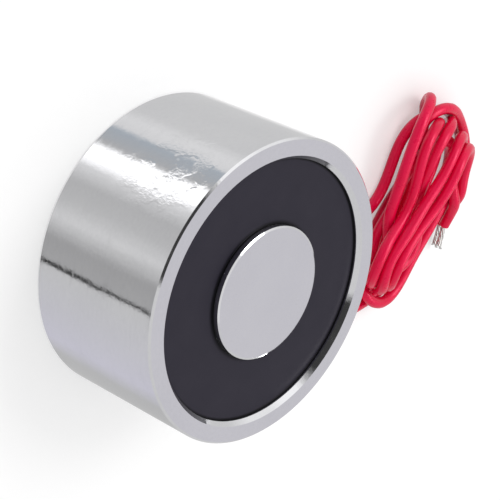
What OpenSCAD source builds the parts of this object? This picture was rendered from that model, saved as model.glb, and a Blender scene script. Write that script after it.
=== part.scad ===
// Round holding electromagnet: a steel pot with a centre pole, a potted coil between them, and two leads.
// It stands on its back, with the holding face up. The origin is the middle of the back.
// The leads leave through the side wall towards +Y.

/* [Pot] */
// Outside diameter of the pot
pot_d = 40; // [38:0.5:60]
// Height of the pot from its back to its holding face
pot_h = 20; // [18:0.5:40]
// Thickness of the side wall
pot_wall = 2.8; // [2:0.1:3.5]
// Thickness of the base
base_t = 4.5; // [3:0.1:6]
// Diameter of the centre pole
pole_d = 17.5; // [12:0.5:19]
// Chamfer round the outer edges
edge_chamfer = 0.25; // [0.1:0.05:1]
// Width of the bevel round the inside of the rim
rim_bevel = 0.5; // [0.1:0.05:0.6]
// Height of that bevel
rim_bevel_h = 0.6; // [0.3:0.05:0.7]
// Width of the flat bevel round the face of the pole
pole_bevel = 0.25; // [0.1:0.05:0.6]

/* [Rear thread] */
// Major diameter of the thread
thread_d = 5; // [3:0.5:8]
// Pitch of the thread
thread_pitch = 0.8; // [0.5:0.05:1.25]
// Depth of the thread
thread_depth = 8; // [5:0.5:12]
// Depth drilled past the thread, without the drill's point
drill_extra = 1.2; // [0.5:0.1:2]
// Chamfer at the mouth of the thread
thread_chamfer = 0.4; // [0.2:0.05:0.8]

/* [Coil] */
// Gap between the pole and the bobbin's hub
bobbin_gap = 0.2; // [0.1:0.05:0.4]
// Wall of the bobbin's hub
hub_wall = 0.8; // [0.5:0.1:1.2]
// Thickness of each flange of the bobbin
flange_t = 0.8; // [0.5:0.1:1.2]
// Gap between the flanges and the pot's wall
flange_gap = 0.5; // [0.3:0.1:1]
// Depth of the taped winding below the edge of the flanges
tape_inset = 0.4; // [0.1:0.1:1]
// Thickness of the tape round the winding
tape_t = 0.2; // [0.1:0.05:0.4]
// Diameter of the winding's wire
wire_d = 0.5; // [0.3:0.05:0.7]
// Gap on each side of a wire in its slot through the lower flange
slot_gap = 0.3; // [0.1:0.05:0.5]
// Distance from a wire's end to the inner or outer layer that it belongs to
layer_inset = 0.6; // [0.4:0.1:1]

/* [Resin] */
// Depth of the resin's face below the holding face
resin_recess = 1; // [0.5:0.1:2]
// Thickness of the resin over the upper flange
resin_cover = 1; // [0.6:0.1:2]
// Radius of the edge that creeps up the steel
meniscus_r = 0.2; // [0.1:0.05:0.45]

/* [Leads] */
// Diameter of a lead over its insulation
lead_d = 1.7; // [1.4:0.1:2.2]
// Gap between the two leads where they pass the wall
lead_gap = 0.1; // [0.05:0.05:0.4]
// Bend of a lead inside the pot, at its middle
lead_bend_r = 3.4; // [3:0.1:4]
// Length of a lead between its bend and its stripped end
lead_lap = 2; // [1.8:0.1:3]
// Wall of the shrink sleeve round both leads
sleeve_t = 0.3; // [0.2:0.05:0.5]
// Length of that sleeve outside the pot
sleeve_out = 6; // [3:0.5:10]
// Length of that sleeve inside the wall
sleeve_in = 0.3; // [0.2:0.1:1]
// Gap round that sleeve in the hole through the wall
exit_gap = 0.15; // [0.1:0.05:0.4]
// Height of that hole above the base
exit_lift = 0.3; // [0.2:0.1:0.6]
// Gap between the joints and the lower flange
chamber_gap = 0.35; // [0.2:0.05:0.8]

/* [Joints] */
// Diameter of a soldered joint
solder_d = 1.2; // [0.9:0.1:1.4]
// Length of a soldered joint
solder_len = 3.5; // [2.5:0.1:5]
// Wall of the shrink sleeve over a joint
splice_t = 0.3; // [0.2:0.05:0.5]
// Length of that sleeve over the lead's insulation
splice_lap = 1.5; // [1:0.1:1.7]
// Length of that sleeve over the winding's wire
tail_lap = 1; // [0.5:0.1:2]
// Gap round the wire in that sleeve
tail_gap = 0.05; // [0.02:0.01:0.1]
// Length of wire between that sleeve and the turn towards its slot
tail_run = 1; // [0.8:0.1:2]

/* [Lead ends] */
// Diameter of a bare tip
tip_d = 0.8; // [0.5:0.1:1.2]
// Length of a bare tip
tip_len = 4.2; // [3:0.1:7]
// Height of the hank that the leads are wound into
hank_h = 9.1; // [6:0.1:14]
// Slope of the hank's upper edge, as a width
hank_shoulder = 2; // [0.5:0.1:3]

/* [Hidden] */
$fn = 64;
hull_fn = 32;
tube_sides = 8;
// A lead is this much thinner and shorter than its holes, which are round where it is bent in short straights.
tube_inset = 0.03;
past = 0.5;

pot_r = pot_d / 2;
cavity_r = pot_r - pot_wall;
pole_r = pole_d / 2;

thread_r = thread_d / 2;
drill_r = (thread_d - thread_pitch) / 2;
drill_depth = thread_depth + drill_extra;
drill_point_angle = 118;
drill_tip = drill_depth + drill_r / tan(drill_point_angle / 2);

hub_r0 = pole_r + bobbin_gap;
hub_r = hub_r0 + hub_wall;
flange_r = cavity_r - flange_gap;
tape_r = flange_r - tape_inset;
winding_r = tape_r - tape_t;

resin_top = pot_h - resin_recess;
bobbin_top = resin_top - resin_cover;

lead_r = lead_d / 2;
lead_x = (lead_d + lead_gap) / 2;
sleeve_r = lead_r + sleeve_t;
splice_r = lead_r + splice_t;
exit_r = lead_x + sleeve_r + exit_gap;
exit_z = base_t + exit_lift + exit_r;
flange_z = exit_z + max(splice_r, sleeve_r) + chamber_gap;
winding_z = flange_z + flange_t;
winding_h = bobbin_top - flange_t - winding_z;

// The joints lie on a circle half way between the hub and the wall. Each lead bends onto that circle.
joint_r = (hub_r + cavity_r) / 2;
bend_x = lead_x + lead_bend_r;
bend_y = sqrt(pow(joint_r + lead_bend_r, 2) - pow(bend_x, 2));
bend_angle = atan2(bend_y, bend_x);
function along(len) = len / joint_r * 180 / PI;
lead_angle = bend_angle - along(lead_lap);
lead_end_angle = lead_angle + along(tube_inset);
solder_angle = lead_angle - along(solder_len);
splice_angle0 = lead_angle + along(splice_lap);
splice_angle1 = solder_angle - along(tail_lap);
tail_angle = splice_angle1 - along(tail_run);

sleeve_y0 = max(bend_y, cavity_r - sleeve_in);
sleeve_y1 = pot_r + sleeve_out;

// Routes of the leads from the exit sleeve down to the floor and into the hank
start_route = [
    [-0.9, 29, 6.7], [-1, 32, 5.8], [-1.3, 35, 4.5], [-1.8, 38, 3.1], [-2.5, 41, 1.9],
    [-3.7, 43.8, 1.2], [-5.5, 46.4, 0.9], [-7.9, 48.8, 0.9], [-10.7, 50.8, 0.9], [-14, 52.2, 0.9]
];
finish_route = [
    [0.9, 29, 6.8], [0.9, 32, 6], [0.7, 35, 4.8], [0.3, 38, 3.4], [-0.4, 41, 2.2],
    [-1.6, 44, 1.3], [-3.3, 46.8, 0.9], [-5.5, 49.3, 0.9], [-8, 51.5, 0.9], [-10.9, 53.1, 0.9]
];
// Middles and radii of the round corners of the hank's outline
hank_corners = [
    [-11.1, 39.2, 5.3], [-10.2, 48.3, 5.4], [-21.7, 56.2, 3.8],
    [-29.3, 49.3, 7.8], [-27.6, 47.7, 9.9], [-32, 39.8, 5.3]
];
// Where each bare tip starts inside the hank, and the way both point
start_tip_root = [-21.5, 59.1, 0.9];
finish_tip_root = [-21.4, 57.7, 2.5];
tip_turn = 20;

// Tube swept along a path

function unit(v) = v / norm(v);

function heading(path, i) =
    i == 0 ? unit(path[1] - path[0]) :
    i == len(path) - 1 ? unit(path[i] - path[i - 1]) :
    unit(unit(path[i] - path[i - 1]) + unit(path[i + 1] - path[i]));

function ring(middle, way, r, side) =
    let (u = unit(cross(side, way)))
    let (v = cross(way, u))
    [for (k = [0 : tube_sides - 1]) middle + r * (cos(360 * k / tube_sides) * u + sin(360 * k / tube_sides) * v)];

function skin(i, k) =
    let (a = i * tube_sides + k)
    let (b = i * tube_sides + (k + 1) % tube_sides)
    [[a, a + tube_sides, b], [b, a + tube_sides, b + tube_sides]];

// side is any direction that no stretch of the path runs along.
module tube(path, r, side) {
    last = len(path) - 1;
    sides = [for (i = [0 : last - 1]) for (k = [0 : tube_sides - 1]) each skin(i, k)];
    near_cap = [for (k = [0 : tube_sides - 1]) k];
    far_cap = [for (k = [tube_sides - 1 : -1 : 0]) last * tube_sides + k];
    polyhedron(
        points = [for (i = [0 : last]) each ring(path[i], heading(path, i), r, side)],
        faces = concat([near_cap], sides, [far_cap])
    );
}

function on_joint_circle(angle) = [joint_r * cos(angle), joint_r * sin(angle), exit_z];

// Round bar on the joints' circle, from angle a1 up to angle a0
module bar_on_circle(d, a0, a1) {
    translate([0, 0, exit_z])
        rotate([0, 0, a1])
            rotate_extrude(angle = a0 - a1)
                translate([joint_r, 0])
                    circle(d = d);
}

// The start's pieces are the finish's pieces, seen in a mirror.
module start_side() {
    mirror([1, 0, 0])
        children();
}

// Steel

module magnet_pot() {
    color("silver")
        difference() {
            rotate_extrude()
                polygon([
                    [0, drill_tip], [0, pot_h],
                    [pole_r - pole_bevel, pot_h], [pole_r, pot_h - pole_bevel / 2],
                    [pole_r, base_t], [cavity_r, base_t],
                    [cavity_r, pot_h - rim_bevel_h], [cavity_r + rim_bevel, pot_h],
                    [pot_r - edge_chamfer, pot_h], [pot_r, pot_h - edge_chamfer],
                    [pot_r, edge_chamfer], [pot_r - edge_chamfer, 0],
                    [thread_r + thread_chamfer, 0], [thread_r, thread_chamfer],
                    [thread_r, thread_depth], [drill_r, thread_depth], [drill_r, drill_depth]
                ]);
            exit_bore();
        }
}

module exit_bore() {
    translate([0, cavity_r - past, exit_z])
        rotate([-90, 0, 0])
            cylinder(r = exit_r, h = pot_wall + 2 * past);
}

// Coil

module bobbin_hub() {
    translate([0, 0, base_t])
        cylinder(r = hub_r, h = bobbin_top - base_t);
}

module flange_slot(angle) {
    slot_w = wire_d + 2 * slot_gap;
    rotate([0, 0, angle])
        translate([hub_r, -slot_w / 2, flange_z - past])
            cube([flange_r - hub_r + past, slot_w, flange_t + 2 * past]);
}

module bobbin_flanges() {
    difference() {
        translate([0, 0, flange_z])
            cylinder(r = flange_r, h = flange_t);
        flange_slot(tail_angle);
        flange_slot(180 - tail_angle);
    }
    translate([0, 0, bobbin_top - flange_t])
        cylinder(r = flange_r, h = flange_t);
}

module coil_bobbin() {
    color("ivory")
        difference() {
            union() {
                bobbin_hub();
                bobbin_flanges();
            }
            translate([0, 0, base_t - past])
                cylinder(r = hub_r0, h = bobbin_top - base_t + 2 * past);
        }
}

module winding_layer(r0, r1) {
    translate([0, 0, winding_z])
        difference() {
            cylinder(r = r1, h = winding_h);
            translate([0, 0, -past])
                cylinder(r = r0, h = winding_h + 2 * past);
        }
}

module coil_winding() {
    color("peru")
        winding_layer(hub_r, winding_r);
}

module winding_tape() {
    color("khaki")
        winding_layer(winding_r, tape_r);
}

// Joints between the winding and the leads

module tail(end_r) {
    on_circle = [for (i = [0 : 3]) on_joint_circle(solder_angle + (tail_angle - solder_angle) * i / 3)];
    below = [end_r * cos(tail_angle), end_r * sin(tail_angle), exit_z];
    tube(concat(on_circle, [below, [below.x, below.y, winding_z]]), wire_d / 2, [-1, 0.2, 0.6]);
}

module start_tail() {
    color("sienna")
        start_side()
            tail(hub_r + layer_inset);
}

module finish_tail() {
    color("sienna")
        tail(winding_r - layer_inset);
}

module solder_joint() {
    bar_on_circle(solder_d, lead_angle, solder_angle);
}

module start_solder_joint() {
    color("lightgray")
        start_side()
            solder_joint();
}

module finish_solder_joint() {
    color("lightgray")
        solder_joint();
}

module splice_outside() {
    bar_on_circle(2 * splice_r, splice_angle0, splice_angle1);
}

module splice_sleeve() {
    difference() {
        splice_outside();
        bar_on_circle(lead_d, splice_angle0 + past, lead_angle);
        bar_on_circle(solder_d, lead_angle + past, solder_angle);
        bar_on_circle(wire_d + 2 * tail_gap, solder_angle + past, splice_angle1 - past);
    }
}

module start_splice_sleeve() {
    color("dimgray")
        start_side()
            splice_sleeve();
}

module finish_splice_sleeve() {
    color("dimgray")
        splice_sleeve();
}

// Leads

// The finish lead's stretch inside the pot, from its joint to the exit sleeve
function lead_inside() = concat(
    [for (i = [0 : 2]) on_joint_circle(lead_end_angle + (bend_angle - lead_end_angle) * i / 3)],
    [for (a = [180 + bend_angle : -bend_angle / 5 : 180])
        [bend_x + lead_bend_r * cos(a), bend_y + lead_bend_r * sin(a), exit_z]],
    [[lead_x, sleeve_y0, exit_z], [lead_x, sleeve_y1, exit_z]]
);

function seen_in_mirror(path) = [for (p = path) [-p.x, p.y, p.z]];

module sleeve_outside() {
    translate([0, sleeve_y0, exit_z])
        rotate([-90, 0, 0])
            linear_extrude(sleeve_y1 - sleeve_y0) {
                square([2 * lead_x, 2 * sleeve_r], center = true);
                translate([-lead_x, 0])
                    circle(r = sleeve_r);
                translate([lead_x, 0])
                    circle(r = sleeve_r);
            }
}

module exit_sleeve() {
    color("black")
        difference() {
            sleeve_outside();
            for (x = [-lead_x, lead_x])
                translate([x, sleeve_y0 - past, exit_z])
                    rotate([-90, 0, 0])
                        cylinder(d = lead_d, h = sleeve_y1 - sleeve_y0 + 2 * past);
        }
}

module lead(path) {
    color("crimson")
        difference() {
            tube(path, lead_r - tube_inset, [0, 0, 1]);
            lead_hank();
        }
}

module start_lead() {
    lead(concat(seen_in_mirror(lead_inside()), start_route));
}

module finish_lead() {
    lead(concat(lead_inside(), finish_route));
}

module lead_hank() {
    color("crimson")
        hull()
            for (corner = hank_corners)
                translate([corner.x, corner.y, 0]) {
                    cylinder(r = corner[2], h = hank_h - hank_shoulder, $fn = hull_fn);
                    cylinder(r = corner[2] - hank_shoulder, h = hank_h, $fn = hull_fn);
                }
}

module lead_tip(root) {
    color("gainsboro")
        difference() {
            translate(root)
                rotate([0, 0, tip_turn])
                    rotate([0, 90, 0])
                        cylinder(d = tip_d, h = tip_len);
            lead_hank();
        }
}

module start_lead_tip() {
    lead_tip(start_tip_root);
}

module finish_lead_tip() {
    lead_tip(finish_tip_root);
}

// Resin

module resin_pour() {
    creep = [for (a = [0 : 15 : 90]) meniscus_r * [1 - sin(a), 1 - cos(a)]];
    rotate_extrude()
        polygon(concat(
            [[pole_r, base_t]],
            [for (p = creep) [pole_r + p.y, resin_top + p.x]],
            [for (p = creep) [cavity_r - p.x, resin_top + p.y]],
            [[cavity_r, base_t]]
        ));
    intersection() {
        exit_bore();
        cylinder(r = pot_r, h = pot_h);
    }
}

module potting_resin() {
    color("darkslategray")
        difference() {
            resin_pour();
            bobbin_hub();
            bobbin_flanges();
            winding_layer(0, tape_r);
            sleeve_outside();
            tube(lead_inside(), lead_r, [0, 0, 1]);
            tube(seen_in_mirror(lead_inside()), lead_r, [0, 0, 1]);
            splice_outside();
            start_side()
                splice_outside();
            finish_tail();
            start_tail();
        }
}

magnet_pot();
coil_bobbin();
coil_winding();
winding_tape();
potting_resin();
start_tail();
finish_tail();
start_solder_joint();
finish_solder_joint();
start_splice_sleeve();
finish_splice_sleeve();
exit_sleeve();
start_lead();
finish_lead();
lead_hank();
start_lead_tip();
finish_lead_tip();
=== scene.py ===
# %% [markdown]
# # A round holding electromagnet
#
# A plated steel pot holds a coil under black resin. Two red leads leave its side and lie wound up beside it.
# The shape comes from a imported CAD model, which is loaded as a fixed frame. This lesson adds what CAD leaves
# out: the wound leads, their bare tips, the thread in the back, the finishes, the light and the camera.
# Blender works in metres here. Sizes are written in millimetres and turned into metres with `MM`.

# %% Load the frame
import math

import bmesh
import bpy
import numpy as np
from mathutils import Matrix, Vector


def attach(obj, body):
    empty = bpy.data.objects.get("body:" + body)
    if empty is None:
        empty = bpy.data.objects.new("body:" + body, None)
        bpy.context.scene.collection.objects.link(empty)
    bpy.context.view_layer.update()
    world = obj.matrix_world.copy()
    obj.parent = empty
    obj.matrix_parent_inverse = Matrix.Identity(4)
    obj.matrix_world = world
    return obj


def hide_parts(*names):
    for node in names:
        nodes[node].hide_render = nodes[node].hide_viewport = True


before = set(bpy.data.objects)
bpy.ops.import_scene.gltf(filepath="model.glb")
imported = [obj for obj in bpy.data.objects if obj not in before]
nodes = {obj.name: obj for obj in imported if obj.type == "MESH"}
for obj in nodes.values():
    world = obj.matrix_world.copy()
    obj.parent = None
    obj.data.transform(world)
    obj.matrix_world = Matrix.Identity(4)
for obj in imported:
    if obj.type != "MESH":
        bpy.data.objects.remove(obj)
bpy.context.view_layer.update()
scene = bpy.context.scene
MM = 0.001
print("CAD nodes:", len(nodes))

# %% [markdown]
# ## The camera
#
# The photograph shows the magnet from above its holding face, with its axis leaning across the picture. A
# round body that lies down rolls, so here it stands on its back and the camera is turned instead. The
# camera's place and its three directions are found from the rim, the pole and the back edge. Setting the
# camera's matrix from those directions is surer than aiming it with angles.

# %% Camera
CAMERA_AT = Vector((0, -168.01, 143.98)) * MM
CAMERA_RIGHT = Vector((-0.42717, 0.54552, 0.72106))
CAMERA_DOWN = Vector((0.90398, 0.27407, 0.32819))
CAMERA_AHEAD = Vector((-0.01859, 0.79202, -0.61021))
SENSOR_MM = 36
FOCAL_PX = 1700
PICTURE_PX = 500
camera_data = bpy.data.cameras.new("camera")
camera_data.sensor_width = SENSOR_MM
camera_data.lens = SENSOR_MM * FOCAL_PX / PICTURE_PX
camera_data.clip_start = 10 * MM
camera = bpy.data.objects.new("camera", camera_data)
camera.matrix_world = Matrix.LocRotScale(CAMERA_AT, None, None) @ Matrix((
    CAMERA_RIGHT, -CAMERA_DOWN, -CAMERA_AHEAD)).transposed().to_4x4()
scene.collection.objects.link(camera)
scene.camera = camera
print("lens", round(camera_data.lens, 1), "mm, distance", round(CAMERA_AT.length / MM), "mm")

# %% [markdown]
# ## The leads
#
# Each lead is a thin stranded wire in red insulation. It leaves the pot through a shrink sleeve, comes down
# to the table and is wound into a hank of leaning loops. A physics simulation could drop it there, but it
# would not fall as the photograph shows. So the turns are planned one by one, and a short relaxation then
# keeps the strands a diameter apart, above the table, and bent no tighter than such a wire bends.
#
# The way from the pot to the table is written in the object's frame. The plan of the hank is written in a
# frame of its own: how far along it, how far across it, and how high.

# %% The leads' way from the pot to the hank
LEAD_D = 1.7
LEAD_X = 0.9
EXIT_Y = 26.0
EXIT_Z = 7.0
JOINT_R = 13.475
JOINT_LAP = 2
BEND_R = 3.4
START_WAY = [
    (-0.9, 29, 6.7), (-1, 32, 5.8), (-1.3, 35, 4.5), (-1.8, 38, 3.1), (-2.5, 41, 1.9),
    (-3.7, 43.8, 1.2), (-5.5, 46.4, 0.9), (-7.9, 48.8, 0.9), (-10.7, 50.8, 0.9), (-14, 52.2, 0.9)]
FINISH_WAY = [
    (0.9, 29, 6.8), (0.9, 32, 6), (0.7, 35, 4.8), (0.3, 38, 3.4), (-0.4, 41, 2.2), (-1.6, 44, 1.3),
    (-3.3, 46.8, 0.9), (-5.5, 49.3, 0.9), (-8, 51.5, 0.9), (-10.9, 53.1, 0.9), (-14.2, 54.2, 0.9)]


def inside_pot(side):
    """From the soldered joint round the bend to the sleeve. side is -1 for the start, 1 for the finish."""
    bend_x = LEAD_X + BEND_R
    bend_y = math.sqrt((JOINT_R + BEND_R) ** 2 - bend_x ** 2)
    bend_angle = math.atan2(bend_y, bend_x)
    first = bend_angle - JOINT_LAP / JOINT_R
    points = []
    for step in range(3):
        angle = first + (bend_angle - first) * step / 3
        points.append((JOINT_R * math.cos(angle), JOINT_R * math.sin(angle), EXIT_Z))
    for step in range(6):
        angle = math.pi + bend_angle * (1 - step / 5)
        points.append((bend_x + BEND_R * math.cos(angle), bend_y + BEND_R * math.sin(angle), EXIT_Z))
    return [(side * x, y, z) for x, y, z in points]


print("points outside the pot:", len(START_WAY), "and", len(FINISH_WAY))

# %% [markdown]
# The photograph looks along the slope of the loops, so each shows its edge. It shows a part of each shift
# across the hank and a part of each height. From those two shares, `on_slope` gives how far across a strand
# lies at a height when the photograph shows it at a certain place. `fold` makes one half turn at an end of
# the hank.

# %% The plan of the hank
HANK_NEAR = np.array([-8.0, 50.3])
HANK_FAR = np.array([-36.0, 46.9])
HANK_AHEAD = (HANK_FAR - HANK_NEAR) / np.linalg.norm(HANK_FAR - HANK_NEAR)
HANK_ACROSS = np.array([-HANK_AHEAD[1], HANK_AHEAD[0]])
FLAT = 0.87
SHIFT_SEEN = 0.61
HEIGHT_SEEN = 0.79
FOLD_POINTS = 7


def on_slope(seen, z):
    return (seen + HEIGHT_SEEN * z) / SHIFT_SEEN


def swing(first, last, turn):
    return (first + last) / 2 + (first - last) / 2 * math.cos(turn)


def fold(root, enter, leave, depth, heights):
    """A half turn between two places across the hank, with the heights of its two ends or of all points."""
    points = []
    for k, turn in enumerate(np.linspace(0, np.pi, FOLD_POINTS)):
        z = heights[k] if len(heights) == FOLD_POINTS else swing(*heights, turn)
        points.append((root + depth * math.sin(turn), swing(enter, leave, turn), z))
    return points


def seen_at(*places):
    return [(a, on_slope(seen, z), z) for a, seen, z in places]


START_TURNS = (
    [(9.1, -4.0, FLAT), (13.4, -5.0, FLAT)]
    + fold(18.8, -6.8, 5.2, 5.7, [FLAT, 1.3, 2.2, 2.8, 2.8, 2.8, 2.6])
    + [(15.0, 5.5, 1.5), (10, 6.0, 0.9)]
    + fold(4.8, 6.4, -3.4, -7.2, [0.95, 1.5, 2.6, 2.8, 2.75, 2.6, 2.5])
    + [(9.1, -4.9, 2.5), (13.4, -5.8, 2.5), (17, -6.7, 2.6), (20.2, -7.3, 2.6), (23.5, -7.0, 2.6)]
    + [(26.0, -5.2, 2.6), (28.0, -2.0, 2.8), (28.9, 1.4, 3.3), (28.9, 4.4, 4.0), (27.5, 7.0, 4.0)]
    + [(24.0, 8.2, 3.2), (19, 7.0, 2.75), (14, 6.5, 2.7), (10, 6.3, 2.7)]
    + fold(7.2, 7.0, -1.4, -4.4, [2.75, 3.4])
    + seen_at((10.5, -1.8, 3.9), (14, -1.5, 4.7), (18.5, -1.0, 5.7))
    + fold(22.7, on_slope(-1.1, 6.6), -2.2, 4.6, [6.6, FLAT])
    + [(15, -2.0, FLAT), (10, -1.0, FLAT)]
    + fold(5.4, -0.2, on_slope(-1.9, 7.0), -4.5, [0.95, 7.0])
    + seen_at((9.5, -2.8, 7.2), (14, -3.9, 7.5), (17.2, -4.9, 7.8))
    + fold(20.6, on_slope(-5.3, 8.0), -5.0, 4.3, [8.0, 4.0])
    + [(18.4, -6.6, 4.1), (16.6, -8.5, 2.9), (14.8, -9.8, 1.5), (12.3, -10.4, FLAT)])
FINISH_TURNS = (
    [(9.1, -5.8, FLAT), (13.4, -6.8, FLAT), (17.0, -7.6, FLAT), (20, -8.4, FLAT), (23.5, -8.2, FLAT)]
    + [(26.2, -6.4, FLAT), (28.0, -3.4, 0.9), (28.8, 0.2, 1.4), (28.5, 3.7, 2.4), (27.2, 6.4, 2.3)]
    + [(24.0, 8.2, 1.5), (20, 8.3, FLAT), (16.8, 8.1, FLAT), (12.6, 8.4, FLAT), (9.2, 10.6, FLAT)]
    + fold(4.4, 14.6, on_slope(0.6, 4.0), -4.7, [0.9, 1.4, 2.2, 3.0, 3.6, 3.9, 4.0])
    + seen_at((9.0, 1.5, 4.1), (13.3, 2.1, 4.7), (18, 2.5, 5.4))
    + fold(24.3, on_slope(2.8, 6.0), 3.6, 5.0, [6.0, FLAT])
    + [(17, 3.8, FLAT), (10, 3.9, FLAT)]
    + fold(5.0, 3.9, on_slope(1.5, 5.9), -4.5, [0.9, 5.9])
    + seen_at((9.5, 0.2, 5.9), (14.1, -0.3, 5.5), (19.1, 0.4, 5.9))
    + fold(22.2, on_slope(0.7, 6.3), 1.3, 4.6, [6.3, FLAT])
    + [(14, 1.4, FLAT), (9, 1.6, FLAT)]
    + fold(4.8, 1.8, on_slope(-0.2, 7.0), -4.5, [0.9, 7.0])
    + seen_at((8.7, -1.07, 7.2), (13.1, -2.0, 7.3), (17.5, -3.0, 7.3))
    + fold(21.4, on_slope(-3.8, 7.3), -4.2, 4.6, [7.3, 2.7])
    + [(18.3, -5.0, 4.3), (16.3, -6.7, 4.5), (14.5, -8.1, 3.4), (12.4, -9.0, 2.5)])


def in_hank(a, u, z):
    x, y = HANK_NEAR + HANK_AHEAD * a + HANK_ACROSS * u
    return (x, y, z)


print("points in the hank:", len(START_TURNS), "and", len(FINISH_TURNS))

# %% [markdown]
# A smooth curve through the planned points is cut into short equal steps. Then many small passes correct
# the places: back towards the plan, out of tight bends, off other strands, up off the table, and back to
# equal steps. Working on all points at once with numpy keeps this to a few seconds.

# %% Relax the leads
SAMPLES = 24
STEP = 0.85
CLEAR = 1.75
LEAST_BEND = 4.5
OWN_STRAND = math.ceil(2.4 * CLEAR / STEP)
NEAR = CLEAR + 1.4
PLAN_PULL = 0.03
LEAST_PULL = 0.004
STRAIGHTEN = 0.055
OPEN_BENDS = 0.16
LONGEST_MOVE = 0.25
SETTLE_FROM = 0.85
BEND_SPANS = (2, 3, 4, 6)
LOOK_EVERY = 10
TINY = 1e-9
PASSES = 1800


def smooth_curve(points, step):
    p = np.asarray(points, float)
    p = np.vstack([2 * p[0] - p[1], p, 2 * p[-1] - p[-2]])
    t = np.linspace(0, 1, SAMPLES, endpoint=False)[:, None]
    stretches = []
    for a, b, c, d in zip(p, p[1:], p[2:], p[3:]):
        square = (2 * a - 5 * b + 4 * c - d) * t ** 2
        cube = (3 * b - a - 3 * c + d) * t ** 3
        stretches.append(0.5 * (2 * b + (c - a) * t + square + cube))
    fine = np.vstack(stretches + [p[-2:-1]])
    run = np.r_[0, np.cumsum(np.linalg.norm(np.diff(fine, axis=0), axis=1))]
    want = np.linspace(0, run[-1], int(round(run[-1] / step)) + 1)
    return np.stack([np.interp(want, run, fine[:, k]) for k in range(3)], axis=1)


def length_of(points):
    return float(np.linalg.norm(np.diff(points, axis=0), axis=1).sum())


def vector_lengths(vectors):
    return np.sqrt((vectors * vectors).sum(1)) + TINY


def relax(leads, held_first, held_last, passes):
    sizes = [len(lead) for lead in leads]
    last = np.repeat(sizes, sizes) - 1
    pos = np.vstack(leads)
    plan = pos.copy()
    lead = np.repeat(np.arange(len(leads)), sizes)
    place = np.concatenate([np.arange(n) for n in sizes])
    free = ((place >= held_first) & (place <= last - held_last)).astype(float)[:, None]
    inner = np.flatnonzero((place > 1) & (place < last - 1))
    link = np.flatnonzero(lead[:-1] == lead[1:])
    one, other = np.triu_indices(len(pos), 1)
    apart = (lead[one] != lead[other]) | (other - one > OWN_STRAND)
    one, other = one[apart], other[apart]
    for k in range(passes):
        share = k / passes
        late = share > SETTLE_FROM
        if not late:
            pos += free * (PLAN_PULL * (1 - share) + LEAST_PULL) * (plan - pos)
        beside = pos[inner - 1] + pos[inner + 1]
        beyond = pos[inner - 2] + pos[inner + 2]
        pos[inner] += STRAIGHTEN * free[inner] * (4 * beside - beyond - 6 * pos[inner])
        for span in BEND_SPANS:
            least = 2 * LEAST_BEND * math.sin(span * STEP / LEAST_BEND)
            middle = np.flatnonzero((place >= span) & (place <= last - span))
            chord = pos[middle + span] - pos[middle - span]
            far = vector_lengths(chord)
            tight = far < least
            push = chord[tight] * ((least - far[tight]) / far[tight] * OPEN_BENDS)[:, None]
            move = np.zeros_like(pos)
            np.add.at(move, middle[tight] + span, push)
            np.add.at(move, middle[tight] - span, -push)
            pos += free * np.clip(move, -LONGEST_MOVE, LONGEST_MOVE)
        if k % LOOK_EVERY == 0:
            near = np.flatnonzero(vector_lengths(pos[one] - pos[other]) < NEAR)
            near_one, near_other = one[near], other[near]
        for _ in range(2 if late else 1):
            between = pos[near_one] - pos[near_other]
            far = vector_lengths(between)
            hit = far < CLEAR
            push = between[hit] * ((CLEAR - far[hit]) / far[hit] * 0.5)[:, None]
            move = np.zeros_like(pos)
            count = np.zeros(len(pos))
            for index, sign in ((near_one[hit], 1), (near_other[hit], -1)):
                np.add.at(move, index, sign * push)
                np.add.at(count, index, 1)
            pos += free * move / np.maximum(1, count * 0.5)[:, None]
        pos[:, 2] = np.maximum(pos[:, 2], CLEAR / 2)
        for odd in (0, 1) * 3:
            a = link[place[link] % 2 == odd]
            step = pos[a + 1] - pos[a]
            far = vector_lengths(step)
            weight = np.maximum(free[a] + free[a + 1], TINY)
            move = step * ((far - STEP) / far)[:, None] / weight
            pos[a] += move * free[a]
            pos[a + 1] -= move * free[a + 1]
    return np.split(pos, np.cumsum(sizes)[:-1])


mouths = [(-LEAD_X, EXIT_Y, EXIT_Z), (LEAD_X, EXIT_Y, EXIT_Z)]
planned = [
    smooth_curve([mouth] + way + [in_hank(*turn) for turn in turns], STEP)
    for mouth, way, turns in zip(mouths, (START_WAY, FINISH_WAY), (START_TURNS, FINISH_TURNS))]
start_line, finish_line = relax(planned, held_first=18, held_last=4, passes=PASSES)
print("outside the pot:", round(length_of(start_line)), "mm and", round(length_of(finish_line)), "mm")

# %% [markdown]
# A shader is a graph of nodes. To write its sums as plain Python, a small class wraps a socket, and adding
# or multiplying two of them adds a Math node. Every other node comes from one method that takes its type,
# its settings and its inputs.

# %% Shader sums
class Value:
    def __init__(self, tree, socket):
        self.tree = tree
        self.socket = socket

    def maths(self, operation, first, second):
        return self.tree.node("Math", {"operation": operation}, [first, second])

    def __add__(self, other):
        return self.maths("ADD", self, other)

    def __sub__(self, other):
        return self.maths("SUBTRACT", self, other)

    def __rsub__(self, other):
        return self.maths("SUBTRACT", other, self)

    def __mul__(self, other):
        return self.maths("MULTIPLY", self, other)

    def __truediv__(self, other):
        return self.maths("DIVIDE", self, other)

    def __pow__(self, other):
        return self.maths("POWER", self, other)

    __radd__ = __add__
    __rmul__ = __mul__


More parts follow.
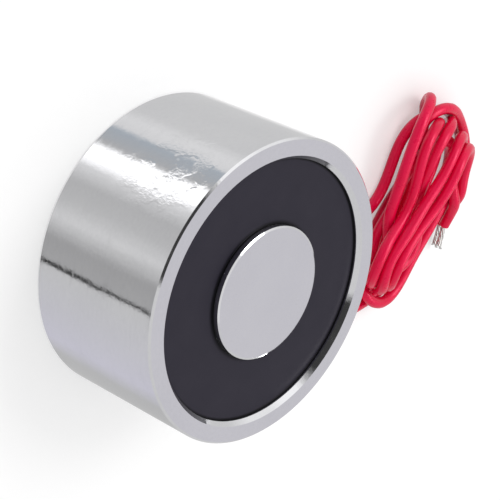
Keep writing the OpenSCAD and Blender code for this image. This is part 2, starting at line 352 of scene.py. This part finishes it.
class Tree:
    def __init__(self, owner):
        owner.use_nodes = True
        self.nodes = owner.node_tree.nodes
        self.links = owner.node_tree.links
        self.nodes.clear()

    def node(self, kind, settings=None, inputs=(), output=0):
        made = self.nodes.new("ShaderNode" + kind)
        for name, value in (settings or {}).items():
            if name == "stops":
                self.set_stops(made.color_ramp, value)
            else:
                setattr(made, name, value)
        pairs = inputs.items() if isinstance(inputs, dict) else enumerate(inputs)
        for name, value in pairs:
            if isinstance(value, Value):
                self.links.new(value.socket, made.inputs[name])
            elif value is not None:
                made.inputs[name].default_value = value
        return Value(self, made.outputs[output]) if made.outputs else None

    def set_stops(self, ramp, stops):
        while len(ramp.elements) > 1:
            ramp.elements.remove(ramp.elements[-1])
        for k, (place, shade) in enumerate(stops):
            element = ramp.elements[0] if k == 0 else ramp.elements.new(place)
            element.position = place
            element.color = (*shade, 1) if isinstance(shade, tuple) else (shade, shade, shade, 1)

    def ramp(self, value, *stops):
        return self.node("ValToRGB", {"stops": stops}, [value])

    def mix(self, factor, a, b):
        return self.node("Mix", {"data_type": "RGBA"}, {0: factor, 6: opaque(a), 7: opaque(b)}, output=2)

    def blend(self, value, low, high, a, b):
        share = self.node("MapRange", {"interpolation_type": "SMOOTHSTEP"}, [value, low, high, 0.0, 1.0])
        return self.mix(share, a, b)

    def place(self):
        return self.node("TexCoord", output=3)

    def noise(self, vector, scale, detail=3.0, rough=0.5):
        inputs = {"Vector": vector, "Scale": scale, "Detail": detail, "Roughness": rough}
        return self.node("TexNoise", None, inputs)

    def axes(self, vector):
        return [self.node("SeparateXYZ", None, [vector], output=k) for k in range(3)]

    def vector(self, x, y, z):
        return self.node("CombineXYZ", None, [x, y, z])

    def bump(self, height, strength, distance):
        return self.node("Bump", None, {"Height": height, "Strength": strength, "Distance": distance})


def opaque(shade):
    return (*shade, 1) if isinstance(shade, tuple) else shade


def finish(name, build, **constants):
    """A Principled material: build gives what varies, and constants go on the shader's own sockets."""
    material = bpy.data.materials.new(name)
    tree = Tree(material)
    inputs = {key.replace("_", " "): value for key, value in constants.items()}
    inputs.update(build(tree))
    shader = tree.node("BsdfPrincipled", None, inputs)
    tree.node("OutputMaterial", None, {"Surface": shader})
    return material


print("shader helpers ready")

# %% [markdown]
# ## The finishes
#
# The pot is turned from steel and plated bright. Turning leaves fine rings round its axis on the side and on
# the flat faces. Handling leaves faint rubbed patches, and one patch of the side is scuffed. A ring pattern
# comes from noise that is fed with the distance from the axis and the height, and hardly with the angle, so
# that it is drawn out into rings. With more of the angle it gives the short grain and the scuffs.

# %% Plated steel
SCUFF_AT = (-8.3 * MM, -18.1 * MM, 13 * MM)
SCUFF_REACH = 8 * MM
PLATING_RELIEF = 0.018 * MM


def from_axis(x, y):
    return (x * x + y * y) ** 0.5


def around_axis(tree, ring_scale, turn_scale):
    """Texture space whose first two axes are the radius and the height, and whose third is the angle."""
    x, y, z = tree.axes(tree.place())
    turn = tree.node("Math", {"operation": "ARCTAN2"}, [y, x])
    return tree.vector(from_axis(x, y) * ring_scale, z * ring_scale, turn * turn_scale)


def plated_steel(tree):
    rings = tree.noise(around_axis(tree, 6000, 0.8), 1, detail=4, rough=0.6)
    ripple = tree.noise(tree.place(), 380, detail=5, rough=0.62)
    rubbed = tree.noise(around_axis(tree, 900, 6.0), 1, detail=5, rough=0.65)
    worn = tree.ramp(rubbed, (0.50, 0.0), (0.72, 1.0))
    cloud = tree.noise(tree.place(), 120)
    grain = tree.noise(around_axis(tree, 2600, 30.0), 1, detail=4, rough=0.65)
    shade = tree.mix(cloud * 0.5 + grain * 0.5, (0.69, 0.69, 0.715), (0.83, 0.83, 0.84))
    from_patch = tree.node("VectorMath", {"operation": "DISTANCE"}, [tree.place(), SCUFF_AT], output=1)
    scuffed = tree.ramp(from_patch / SCUFF_REACH, (0.4, 1.0), (1.0, 0.0))
    scuffs = tree.noise(around_axis(tree, 2400, 70.0), 1, detail=2, rough=0.6)
    broken = tree.ramp(tree.noise(tree.place(), 420, detail=2), (0.47, 0.0), (0.55, 1.0))
    relief = ripple + rings * 0.05 + scuffs * scuffed * broken * 1.9
    normal = tree.bump(relief, 1.0, PLATING_RELIEF)
    return {"Base Color": shade, "Roughness": 0.07 + worn * 0.12, "Normal": normal}


STEEL = finish("plated_steel", plated_steel, Metallic=1.0)
print("finish:", STEEL.name)

# %% [markdown]
# The resin is black epoxy, poured in and left to set, so it is smooth and a little satin, with faint clouds.
# In the corners beside the pole and the rim its colour is painted blacker, as painted shade. The bobbin, the
# tape and the winding are sealed inside, but they are finished too, for anyone who takes it apart.

# %% Resin and the coil's finishes
# Painted shade: the resin's colour goes black in these bands beside the pole and beside the rim.
PAINTED_CORNER_SHADE = (0.001, 0.001, 0.002)
PAINTED_SHADE_BY_POLE = (8.75 * MM, 9.4 * MM)
PAINTED_SHADE_BY_RIM = (16.8 * MM, 17.15 * MM)
WIRE_PITCH = 0.5 * MM


def potting_resin(tree):
    cloud = tree.noise(tree.place(), 260, detail=4, rough=0.6)
    fine = tree.noise(tree.place(), 2600)
    shade = tree.mix(cloud, (0.023, 0.021, 0.031), (0.031, 0.028, 0.039))
    x, y, _ = tree.axes(tree.place())
    radius = from_axis(x, y)
    # Painted shade: the colour turns black in the corners beside the pole and the rim.
    shade = tree.blend(radius, *PAINTED_SHADE_BY_POLE, PAINTED_CORNER_SHADE, shade)
    shade = tree.blend(radius, *PAINTED_SHADE_BY_RIM, shade, PAINTED_CORNER_SHADE)
    normal = tree.bump(fine, 0.08, 0.03 * MM)
    return {"Base Color": shade, "Roughness": 0.30 + cloud * 0.12, "Normal": normal}


def bobbin_nylon(tree):
    cloud = tree.noise(tree.place(), 180)
    shade = tree.mix(cloud, (0.72, 0.68, 0.57), (0.80, 0.77, 0.68))
    return {"Base Color": shade, "Roughness": 0.45 + cloud * 0.1}


def enamelled_copper(tree):
    height = tree.axes(tree.place())[2]
    turns = tree.node("Math", {"operation": "SINE"}, [height * (2 * math.pi / WIRE_PITCH)])
    cloud = tree.noise(tree.place(), 300)
    shade = tree.mix(cloud, (0.42, 0.13, 0.035), (0.56, 0.20, 0.06))
    normal = tree.bump(turns, 0.5, 0.2 * MM)
    return {"Base Color": shade, "Roughness": 0.25 + cloud * 0.12, "Normal": normal}


def coil_tape(tree):
    cloud = tree.noise(around_axis(tree, 900, 2.0), 1, detail=4)
    shade = tree.mix(cloud, (0.62, 0.45, 0.07), (0.74, 0.56, 0.13))
    return {"Base Color": shade, "Roughness": 0.22 + cloud * 0.12}


def tinned_copper(tree):
    cloud = tree.noise(tree.place(), 1800, detail=4, rough=0.6)
    shade = tree.mix(cloud, (0.58, 0.57, 0.55), (0.82, 0.81, 0.79))
    normal = tree.bump(cloud, 0.3, 0.05 * MM)
    return {"Base Color": shade, "Roughness": 0.22 + cloud * 0.22, "Normal": normal}


def shrink_sleeve(tree):
    cloud = tree.noise(tree.place(), 900, detail=4, rough=0.6)
    shade = tree.mix(cloud, (0.013, 0.013, 0.014), (0.026, 0.026, 0.027))
    normal = tree.bump(cloud, 0.2, 0.08 * MM)
    return {"Base Color": shade, "Roughness": 0.42 + cloud * 0.15, "Normal": normal}


RESIN = finish("potting_resin", potting_resin, Specular_IOR_Level=0.08)
NYLON = finish("bobbin_nylon", bobbin_nylon)
COPPER = finish("enamelled_copper", enamelled_copper, Metallic=1.0)
TAPE = finish("coil_tape", coil_tape)
TINNED = finish("tinned_copper", tinned_copper, Metallic=1.0)
SLEEVE = finish("shrink_sleeve", shrink_sleeve)
print("finishes:", len(bpy.data.materials))

# %% [markdown]
# The leads' insulation is soft red plastic with a shine that is red too. Slow changes along the wire and a
# faint ripple from the extruder keep it from looking like a drawing.

# %% Lead insulation
RED_SHINE = (1.0, 0.26, 0.40, 1.0)


def lead_insulation(tree):
    slow = tree.noise(tree.place(), 220)
    fine = tree.noise(tree.place(), 1500, detail=4, rough=0.6)
    shade = tree.mix(slow, (0.66, 0.000, 0.034), (0.85, 0.001, 0.068))
    normal = tree.bump(fine, 0.15, 0.06 * MM)
    return {"Base Color": shade, "Roughness": 0.22 + fine * 0.14, "Normal": normal}


RED = finish("lead_insulation", lead_insulation, Specular_IOR_Level=0.9, Specular_Tint=RED_SHINE)
print("finish:", RED.name)

# %% [markdown]
# ## The leads as curves
#
# A curve with a round bevel is the natural way to make a wire: its line is the wire's centre and its bevel
# the radius. Each lead's length is measured, and it stands for the plain CAD solids of the same lead, which
# are hidden. Its last bend, inside the pot, is held fast in the resin, so it is a curve of its own.

# %% Lead curves
FINE_STEP = 0.4


def lead_curve(name, *lines):
    """A wire along these lines, each of which starts where the one before it ends."""
    runs = [smooth_curve(line, FINE_STEP) for line in lines]
    points = np.vstack([run[:-1] for run in runs] + [runs[-1][-1:]])
    data = bpy.data.curves.new(name, "CURVE")
    data.dimensions = "3D"
    data.bevel_depth = LEAD_D / 2 * MM
    data.bevel_resolution = 4
    data.use_fill_caps = True
    data.materials.append(RED)
    wire = data.splines.new("POLY")
    wire.points.add(len(points) - 1)
    wire.points.foreach_set("co", np.c_[points * MM, np.ones(len(points))].ravel())
    wire.use_smooth = True
    made = bpy.data.objects.new(name, data)
    scene.collection.objects.link(made)
    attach(made, "root")
    print(name, round(length_of(points)), "mm,", len(points), "points")
    return made, length_of(points) * MM


start_inside, finish_inside = inside_pot(-1), inside_pot(1)
start_wire, start_length = lead_curve("start_wire", [start_inside[-1], mouths[0]], start_line)
finish_wire, finish_length = lead_curve("finish_wire", [finish_inside[-1], mouths[1]], finish_line)
lead_curve("start_wire_inside", start_inside)
lead_curve("finish_wire_inside", finish_inside)

# %% [markdown]
# ## The bare tips
#
# The ends are stripped, and the bare strands are twisted and tinned. Seven thin strands, one in the middle
# and six wound round it, give the twist. Each strand is a tube swept along its own helix in one mesh.

# %% Bare tips
TIP_LEN = 4.2
STRAND_R = 0.135
STRANDS = 7
TIP_TWIST = 5.2
TIP_SET_IN = 0.6
TIP_STEPS = 40
LENGTH_SPREAD = 0.3
SPLAY_SPREAD = 0.5
TIP_TURN = math.radians(20)
TIP_AHEAD = np.array([math.cos(TIP_TURN), math.sin(TIP_TURN), 0])
OFF_AXIS = (0.2, 0.1, 1)


def skin(mesh, rings, smooth):
    """Join rings of points into a closed tube."""
    sides = len(rings[0])
    for a, b in zip(rings, rings[1:]):
        for k in range(sides):
            mesh.faces.new((a[k], a[(k + 1) % sides], b[(k + 1) % sides], b[k])).smooth = smooth
    mesh.faces.new(reversed(rings[0]))
    mesh.faces.new(rings[-1])


def add_tube(mesh, line, radius, sides):
    rings = []
    for k, middle in enumerate(line):
        ahead = line[min(k + 1, len(line) - 1)] - line[max(k - 1, 0)]
        ahead = ahead / np.linalg.norm(ahead)
        u = np.cross(ahead, OFF_AXIS)
        u = u / np.linalg.norm(u)
        v = np.cross(ahead, u)
        turns = np.linspace(0, 2 * np.pi, sides, endpoint=False)
        circle = [middle + radius * (np.cos(t) * u + np.sin(t) * v) for t in turns]
        rings.append([mesh.verts.new(point * MM) for point in circle])
    skin(mesh, rings, smooth=True)


def new_piece(name, mesh, material):
    bmesh.ops.recalc_face_normals(mesh, faces=mesh.faces)
    data = bpy.data.meshes.new(name)
    mesh.to_mesh(data)
    mesh.free()
    data.materials.append(material)
    made = bpy.data.objects.new(name, data)
    scene.collection.objects.link(made)
    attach(made, "root")
    print(name, len(data.vertices), "points")
    return made


def bare_tip(name, line, splay):
    root = line[-1] - TIP_SET_IN * TIP_AHEAD
    side = np.cross(TIP_AHEAD, (0, 0, 1))
    up = np.array([0, 0, 1.0])
    mesh = bmesh.new()
    for strand in range(STRANDS):
        in_middle = strand == STRANDS - 1
        length = TIP_LEN + LENGTH_SPREAD * math.sin(5 * strand)
        uneven = 1 + SPLAY_SPREAD * math.sin(3 * strand)
        points = []
        for run in np.linspace(0, 1, TIP_STEPS):
            turn = strand * math.pi / 3 + run * TIP_TWIST
            reach = 0 if in_middle else 2 * STRAND_R * (1 + splay * run ** 4 * uneven)
            outward = math.cos(turn) * side + math.sin(turn) * up
            points.append(root + TIP_AHEAD * run * length + reach * outward)
        add_tube(mesh, points, STRAND_R, sides=10)
    return new_piece(name, mesh, TINNED)


start_tip = bare_tip("start_bare_tip", start_line, splay=0.5)
finish_tip = bare_tip("finish_bare_tip", finish_line, splay=0.7)
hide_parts("start_lead_tip")
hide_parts("finish_lead_tip")
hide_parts("start_lead", "lead_hank")
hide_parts("finish_lead")

# %% [markdown]
# ## The thread in the back
#
# The hole in the back is tapped for a screw. CAD keeps it as a plain bore at the thread's full diameter, so
# the ridge between the grooves is added here: a section like a blunt triangle is swept along a helix, with
# its foot in the steel. It fades out at both ends.

# %% Thread ridge
THREAD_R = 2.5
THREAD_PITCH = 0.8
THREAD_FROM = 0.55
THREAD_TO = 7.6
RIDGE_H = 0.4
RIDGE_HALF = 0.36
CREST_HALF = 0.10
LEAST_RIDGE = 0.05
FOOT = 0.03
PER_TURN = 48
FADE = PER_TURN / 2


def thread_ridge():
    turns = (THREAD_TO - THREAD_FROM) / THREAD_PITCH
    count = int(turns * PER_TURN)
    mesh = bmesh.new()
    rings = []
    for k in range(count + 1):
        turn = 2 * math.pi * k / PER_TURN
        z = THREAD_FROM + THREAD_PITCH * k / PER_TURN
        share = min(1, k / FADE, (count - k) / FADE)
        foot = THREAD_R + FOOT
        crest = foot - (RIDGE_H + FOOT) * max(share, LEAST_RIDGE)
        section = [(foot, -RIDGE_HALF), (crest, -CREST_HALF), (crest, CREST_HALF), (foot, RIDGE_HALF)]
        points = [Vector((r * math.cos(turn), r * math.sin(turn), z + dz)) for r, dz in section]
        rings.append([mesh.verts.new(point * MM) for point in points])
    skin(mesh, rings, smooth=False)
    return new_piece("rear_thread_ridge", mesh, STEEL)


thread_ridge()

# %% [markdown]
# ## Finishes on the CAD nodes
#
# The solids whose shape is right stay as they are and only take a finish.

# %% Dress the CAD nodes
DRESS = {
    "magnet_pot": STEEL, "potting_resin": RESIN, "coil_bobbin": NYLON, "coil_winding": COPPER,
    "winding_tape": TAPE, "start_tail": COPPER, "finish_tail": COPPER,
    "start_solder_joint": TINNED, "finish_solder_joint": TINNED,
    "start_splice_sleeve": SLEEVE, "finish_splice_sleeve": SLEEVE, "exit_sleeve": SLEEVE,
    "start_lead": RED, "finish_lead": RED, "lead_hank": RED,
    "start_lead_tip": TINNED, "finish_lead_tip": TINNED}
for node_name, material in DRESS.items():
    data = nodes[node_name].data
    data.materials.clear()
    data.materials.append(material)
print("dressed", len(DRESS), "of", len(nodes), "nodes")

# %% [markdown]
# ## Floor and light
#
# A bright metal shows little but what stands round it, so the room is part of the finish. The world is a
# plain pale studio. Only glossy rays see its soft cards, which stand round the object in four belts: below,
# at the horizon, in the sky and overhead. They draw the light and dark bands along the side and on the
# faces, and a slow noise makes their edges waver. All other rays see one plain light.
#
# The floor is pale paper, with a little glow that only the camera sees, so that it is white with a light
# shadow.

# %% Studio
BELOW_TO_HORIZON = (-0.45, -0.25)
HORIZON_TO_SKY = (0.46, 0.54)
SKY_TO_OVERHEAD = (0.80, 0.85)
OVERHEAD_TO_TOP = (0.94, 0.97)
TOP = (0.85, 0.85, 0.85)
PLAIN_LIGHT = (0.88, 0.88, 0.88)
PALE_LILAC = (0.69, 0.68, 0.72)
WAVER = 0.016
PAPER = (0.66, 0.66, 0.66, 1)
GLOW = (0.37, 0.37, 0.37, 1)


def studio_world():
    world = bpy.data.worlds.new("studio")
    scene.world = world
    tree = Tree(world)
    x, y, z = tree.axes(tree.node("TexCoord", output=0))
    turn = tree.node("Math", {"operation": "ARCTAN2"}, [y, x]) / (2 * math.pi) + 0.5
    noise = tree.noise(tree.node("TexCoord", output=0), 26)
    around = turn + (noise * WAVER - WAVER / 2)
    below = tree.ramp(
        around, (0.0, 0.72), (0.03, 0.86), (0.062, 0.82), (0.068, (0.46, 0.51, 0.56)), (0.112, 0.52),
        (0.122, 1.6), (0.150, 1.6), (0.172, 0.85), (0.21, 0.56), (0.25, 0.60), (0.29, 0.76), (0.312, 0.60),
        (0.335, 0.42), (0.3845, 0.46), (0.3865, 0.02), (0.3925, 0.02), (0.3945, 0.66),
        (0.57, (0.68, 0.67, 0.75)), (0.62, 0.56), (0.70, 0.54), (0.715, 0.62), (0.735, 0.52), (0.79, 0.98),
        (0.83, 0.68), (1.0, 0.72))
    horizon = tree.ramp(
        around, (0.0, 1.0), (0.09, 1.0), (0.13, 0.60), (0.29, 0.66), (0.45, 0.72), (0.90, 0.72), (0.95, 1.0))
    sky = tree.ramp(
        around, (0.0, 1.15), (0.075, 1.15), (0.105, 0.5), (0.13, 0.05), (0.315, 0.05), (0.34, 0.76),
        (0.50, 0.70), (0.70, PALE_LILAC), (0.80, PALE_LILAC), (0.88, 0.80), (0.94, 1.15))
    overhead = tree.ramp(turn, (0.0, 4.5), (0.03, 0.85), (0.66, 0.85), (0.72, 4.5))
    cards = tree.blend(z, *BELOW_TO_HORIZON, below, horizon)
    cards = tree.blend(z, *HORIZON_TO_SKY, cards, sky)
    cards = tree.blend(z, *SKY_TO_OVERHEAD, cards, overhead)
    cards = tree.blend(z, *OVERHEAD_TO_TOP, cards, TOP)
    glossy_ray = tree.node("LightPath", output=3)
    light = tree.mix(glossy_ray, PLAIN_LIGHT, cards)
    surface = tree.node("Background", None, {"Color": light, "Strength": 1.0})
    tree.node("OutputWorld", None, {"Surface": surface})


def floor_sheet():
    mesh = bmesh.new()
    bmesh.ops.create_grid(mesh, x_segments=1, y_segments=1, size=3)
    data = bpy.data.meshes.new("floor")
    mesh.to_mesh(data)
    mesh.free()
    material = bpy.data.materials.new("floor_white")
    tree = Tree(material)
    paper = tree.node("BsdfDiffuse", None, {"Color": PAPER})
    glow = tree.node("Emission", None, {"Color": GLOW})
    white_to_camera = tree.node("AddShader", None, [paper, glow])
    to_camera = tree.node("LightPath", output=0)
    shader = tree.node("MixShader", None, [to_camera, paper, white_to_camera])
    tree.node("OutputMaterial", None, {"Surface": shader})
    data.materials.append(material)
    made = bpy.data.objects.new("floor", data)
    scene.collection.objects.link(made)
    made.visible_glossy = False


def soft_lamp(name, place, size, power):
    lamp = bpy.data.lights.new(name, "AREA")
    lamp.size = size
    lamp.energy = power
    made = bpy.data.objects.new(name, lamp)
    made.location = place
    made.rotation_euler = (-Vector(place)).to_track_quat("-Z", "Y").to_euler()
    scene.collection.objects.link(made)


studio_world()
floor_sheet()
soft_lamp("key", place=(-0.35, 0.05, 0.55), size=0.3, power=0.9)
scene.view_settings.view_transform = "Standard"
print("lamps:", len(bpy.data.lights))
